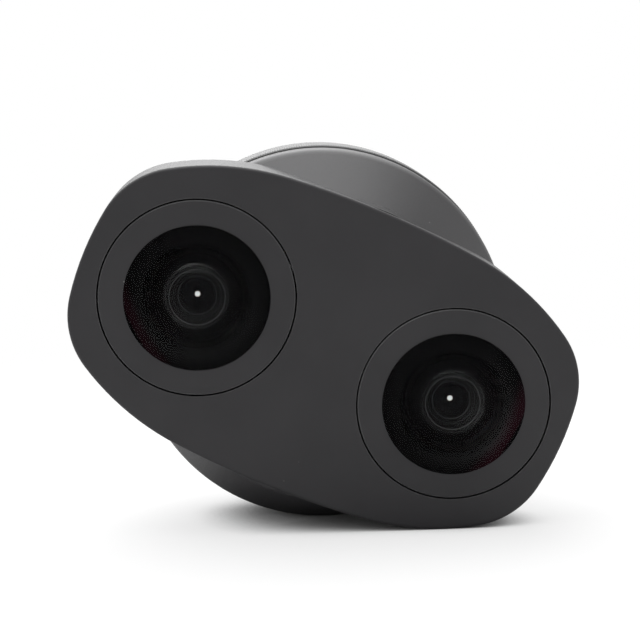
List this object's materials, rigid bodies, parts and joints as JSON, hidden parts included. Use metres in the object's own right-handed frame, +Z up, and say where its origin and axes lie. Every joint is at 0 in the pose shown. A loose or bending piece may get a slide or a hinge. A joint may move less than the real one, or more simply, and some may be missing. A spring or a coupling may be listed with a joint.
{
  "type": "dual fisheye lens",
  "caption": "Stereo fisheye lens with two domed front glasses side by side in a wide oval face, a ribbed focus ring and a rear bayonet.",
  "frame": {"origin": "centre of the rear flange plane, on the barrel's axis, where the lens seats on its camera", "axes": "+Y out of the rear along the barrel's axis towards the camera, X along the line through both front glasses, +Z up"},
  "size_m": [0.1114, 0.0591, 0.085],
  "materials": {
    "shell": "satin black paint with a fine grain",
    "ring_anodised": "grey-black anodised, fine ribs",
    "black_anodised": "matt black anodised",
    "screw_steel": "blackened steel",
    "ground_steel": "ground bright",
    "mount_chrome": "turned and satin chromed",
    "red_enamel": "glossy red enamel",
    "seal_rubber": "matt",
    "black_polymer": "matt black moulding",
    "gold_contact": "gold plated, polished",
    "board_laminate": "green solder mask",
    "sleeve_brass": "machined",
    "coated_glass": "polished, dark multi-layer coating",
    "inner_glass": "polished",
    "rear_glass": "polished, coated",
    "blade_steel": "thin blackened spring steel",
    "gear_polymer": "acetal, natural",
    "gear_brass": "hobbed",
    "motor_case": "drawn can"
  },
  "bodies": {
    "barrel": {"faceplate": "shell", "faceplate_screws": "screw_steel", "front_housing": "shell", "main_tube": "black_anodised", "rear_barrel": "shell", "housing_screws": "screw_steel", "bayonet_mount": "mount_chrome", "mount_screws": "screw_steel", "index_bead": "red_enamel", "mount_seal": "seal_rubber", "rear_baffle": "black_polymer", "contact_block": "black_polymer", "contact_pins": "gold_contact", "circuit_board": "board_laminate", "guide_pins": "ground_steel", "filter_holders": "black_polymer"},
    "focus_ring": {"focus_ring": "ring_anodised", "drive_pins": "ground_steel", "focus_sleeve": "sleeve_brass"},
    "carriage": {"optics_carriage": "black_anodised", "cam_followers": "sleeve_brass", "right_front_ring": "shell", "right_front_lens": "coated_glass", "right_inner_glasses": "inner_glass", "right_chassis": "black_anodised", "right_prisms": "inner_glass", "right_rear_cell": "black_anodised", "right_rear_glasses": "rear_glass", "right_iris_base": "black_anodised", "right_iris_cover": "black_anodised", "right_iris_motor": "motor_case"},
    "left_unit": {"left_front_ring": "shell", "left_front_lens": "coated_glass", "left_inner_glasses": "inner_glass", "left_chassis": "black_anodised", "left_prisms": "inner_glass", "left_rear_cell": "black_anodised", "left_rear_glasses": "rear_glass", "left_iris_base": "black_anodised", "left_iris_cover": "black_anodised", "left_iris_motor": "motor_case"},
    "balance_screw": {"balance_screw": "screw_steel"},
    "right_iris_ring": {"right_iris_ring": "gear_polymer"},
    "right_iris_pinion": {"right_iris_pinion": "gear_brass"},
    "right_blade_1": {"right_blade_1": "blade_steel"},
    "right_blade_2": {"right_blade_2": "blade_steel"},
    "right_blade_3": {"right_blade_3": "blade_steel"},
    "right_blade_4": {"right_blade_4": "blade_steel"},
    "right_blade_5": {"right_blade_5": "blade_steel"},
    "right_blade_6": {"right_blade_6": "blade_steel"},
    "right_blade_7": {"right_blade_7": "blade_steel"},
    "left_iris_ring": {"left_iris_ring": "gear_polymer"},
    "left_iris_pinion": {"left_iris_pinion": "gear_brass"},
    "left_blade_1": {"left_blade_1": "blade_steel"},
    "left_blade_2": {"left_blade_2": "blade_steel"},
    "left_blade_3": {"left_blade_3": "blade_steel"},
    "left_blade_4": {"left_blade_4": "blade_steel"},
    "left_blade_5": {"left_blade_5": "blade_steel"},
    "left_blade_6": {"left_blade_6": "blade_steel"},
    "left_blade_7": {"left_blade_7": "blade_steel"}
  },
  "joints": [
    {"name": "focus_turn", "type": "hinge", "parent": "barrel", "child": "focus_ring", "pos_m": [0, 0, 0], "axis": [0, -1, 0], "range_deg": [0, 90]},
    {"name": "carriage_slide", "type": "slide", "parent": "barrel", "child": "carriage", "axis": [0, -1, 0], "range_m": [0, 0.00014]},
    {"name": "balance_turn", "type": "hinge", "parent": "carriage", "child": "balance_screw", "pos_m": [-0.034, -0.0257, 0], "axis": [-1, 0, 0], "range_deg": [-60, 60]},
    {"name": "left_unit_slide", "type": "slide", "parent": "carriage", "child": "left_unit", "axis": [0, -1, 0], "range_m": [-0.00005, 0.00005]},
    {"name": "iris_turn", "type": "hinge", "parent": "carriage", "child": "right_iris_ring", "pos_m": [0.0155, -0.0315, 0], "axis": [-1, 0, 0], "range_deg": [0, 35]},
    {"name": "right_pinion_spin", "type": "hinge", "parent": "carriage", "child": "right_iris_pinion", "pos_m": [0.0155, -0.0315, 0.0124], "axis": [-1, 0, 0], "range_deg": [-182.1, 0]},
    {"name": "right_blade_1_turn", "type": "hinge", "parent": "carriage", "child": "right_blade_1", "pos_m": [0.01695, -0.0381, 0], "axis": [-1, 0, 0], "range_deg": [0, 20]},
    {"name": "right_blade_2_turn", "type": "hinge", "parent": "carriage", "child": "right_blade_2", "pos_m": [0.0168, -0.03562, 0.00516], "axis": [-1, 0, 0], "range_deg": [0, 20]},
    {"name": "right_blade_3_turn", "type": "hinge", "parent": "carriage", "child": "right_blade_3", "pos_m": [0.01665, -0.03003, 0.00643], "axis": [-1, 0, 0], "range_deg": [0, 20]},
    {"name": "right_blade_4_turn", "type": "hinge", "parent": "carriage", "child": "right_blade_4", "pos_m": [0.0165, -0.02555, 0.00286], "axis": [-1, 0, 0], "range_deg": [0, 20]},
    {"name": "right_blade_5_turn", "type": "hinge", "parent": "carriage", "child": "right_blade_5", "pos_m": [0.01635, -0.02555, -0.00286], "axis": [-1, 0, 0], "range_deg": [0, 20]},
    {"name": "right_blade_6_turn", "type": "hinge", "parent": "carriage", "child": "right_blade_6", "pos_m": [0.0162, -0.03003, -0.00643], "axis": [-1, 0, 0], "range_deg": [0, 20]},
    {"name": "right_blade_7_turn", "type": "hinge", "parent": "carriage", "child": "right_blade_7", "pos_m": [0.01605, -0.03562, -0.00516], "axis": [-1, 0, 0], "range_deg": [0, 20]},
    {"name": "left_iris_turn", "type": "hinge", "parent": "left_unit", "child": "left_iris_ring", "pos_m": [-0.0155, -0.0315, 0], "axis": [-1, 0, 0], "range_deg": [0, 35]},
    {"name": "left_pinion_spin", "type": "hinge", "parent": "left_unit", "child": "left_iris_pinion", "pos_m": [-0.0155, -0.0315, 0.0124], "axis": [-1, 0, 0], "range_deg": [-182.1, 0]},
    {"name": "left_blade_1_turn", "type": "hinge", "parent": "left_unit", "child": "left_blade_1", "pos_m": [-0.01695, -0.0381, 0], "axis": [-1, 0, 0], "range_deg": [0, 20]},
    {"name": "left_blade_2_turn", "type": "hinge", "parent": "left_unit", "child": "left_blade_2", "pos_m": [-0.0168, -0.03562, 0.00516], "axis": [-1, 0, 0], "range_deg": [0, 20]},
    {"name": "left_blade_3_turn", "type": "hinge", "parent": "left_unit", "child": "left_blade_3", "pos_m": [-0.01665, -0.03003, 0.00643], "axis": [-1, 0, 0], "range_deg": [0, 20]},
    {"name": "left_blade_4_turn", "type": "hinge", "parent": "left_unit", "child": "left_blade_4", "pos_m": [-0.0165, -0.02555, 0.00286], "axis": [-1, 0, 0], "range_deg": [0, 20]},
    {"name": "left_blade_5_turn", "type": "hinge", "parent": "left_unit", "child": "left_blade_5", "pos_m": [-0.01635, -0.02555, -0.00286], "axis": [-1, 0, 0], "range_deg": [0, 20]},
    {"name": "left_blade_6_turn", "type": "hinge", "parent": "left_unit", "child": "left_blade_6", "pos_m": [-0.0162, -0.03003, -0.00643], "axis": [-1, 0, 0], "range_deg": [0, 20]},
    {"name": "left_blade_7_turn", "type": "hinge", "parent": "left_unit", "child": "left_blade_7", "pos_m": [-0.01605, -0.03562, -0.00516], "axis": [-1, 0, 0], "range_deg": [0, 20]}
  ],
  "couplings": [
    {"joint": "carriage_slide", "follows": "focus_turn", "m_per_rad": 0.000089126},
    {"joint": "balance_turn", "follows": "left_unit_slide", "rad_per_m": -20944},
    {"joint": "right_pinion_spin", "follows": "iris_turn", "ratio": -5.2},
    {"joint": "right_blade_1_turn", "follows": "iris_turn", "ratio": 0.57143},
    {"joint": "right_blade_2_turn", "follows": "iris_turn", "ratio": 0.57143},
    {"joint": "right_blade_3_turn", "follows": "iris_turn", "ratio": 0.57143},
    {"joint": "right_blade_4_turn", "follows": "iris_turn", "ratio": 0.57143},
    {"joint": "right_blade_5_turn", "follows": "iris_turn", "ratio": 0.57143},
    {"joint": "right_blade_6_turn", "follows": "iris_turn", "ratio": 0.57143},
    {"joint": "right_blade_7_turn", "follows": "iris_turn", "ratio": 0.57143},
    {"joint": "left_iris_turn", "follows": "iris_turn", "ratio": 1},
    {"joint": "left_pinion_spin", "follows": "iris_turn", "ratio": -5.2},
    {"joint": "left_blade_1_turn", "follows": "iris_turn", "ratio": 0.57143},
    {"joint": "left_blade_2_turn", "follows": "iris_turn", "ratio": 0.57143},
    {"joint": "left_blade_3_turn", "follows": "iris_turn", "ratio": 0.57143},
    {"joint": "left_blade_4_turn", "follows": "iris_turn", "ratio": 0.57143},
    {"joint": "left_blade_5_turn", "follows": "iris_turn", "ratio": 0.57143},
    {"joint": "left_blade_6_turn", "follows": "iris_turn", "ratio": 0.57143},
    {"joint": "left_blade_7_turn", "follows": "iris_turn", "ratio": 0.57143}
  ]
}
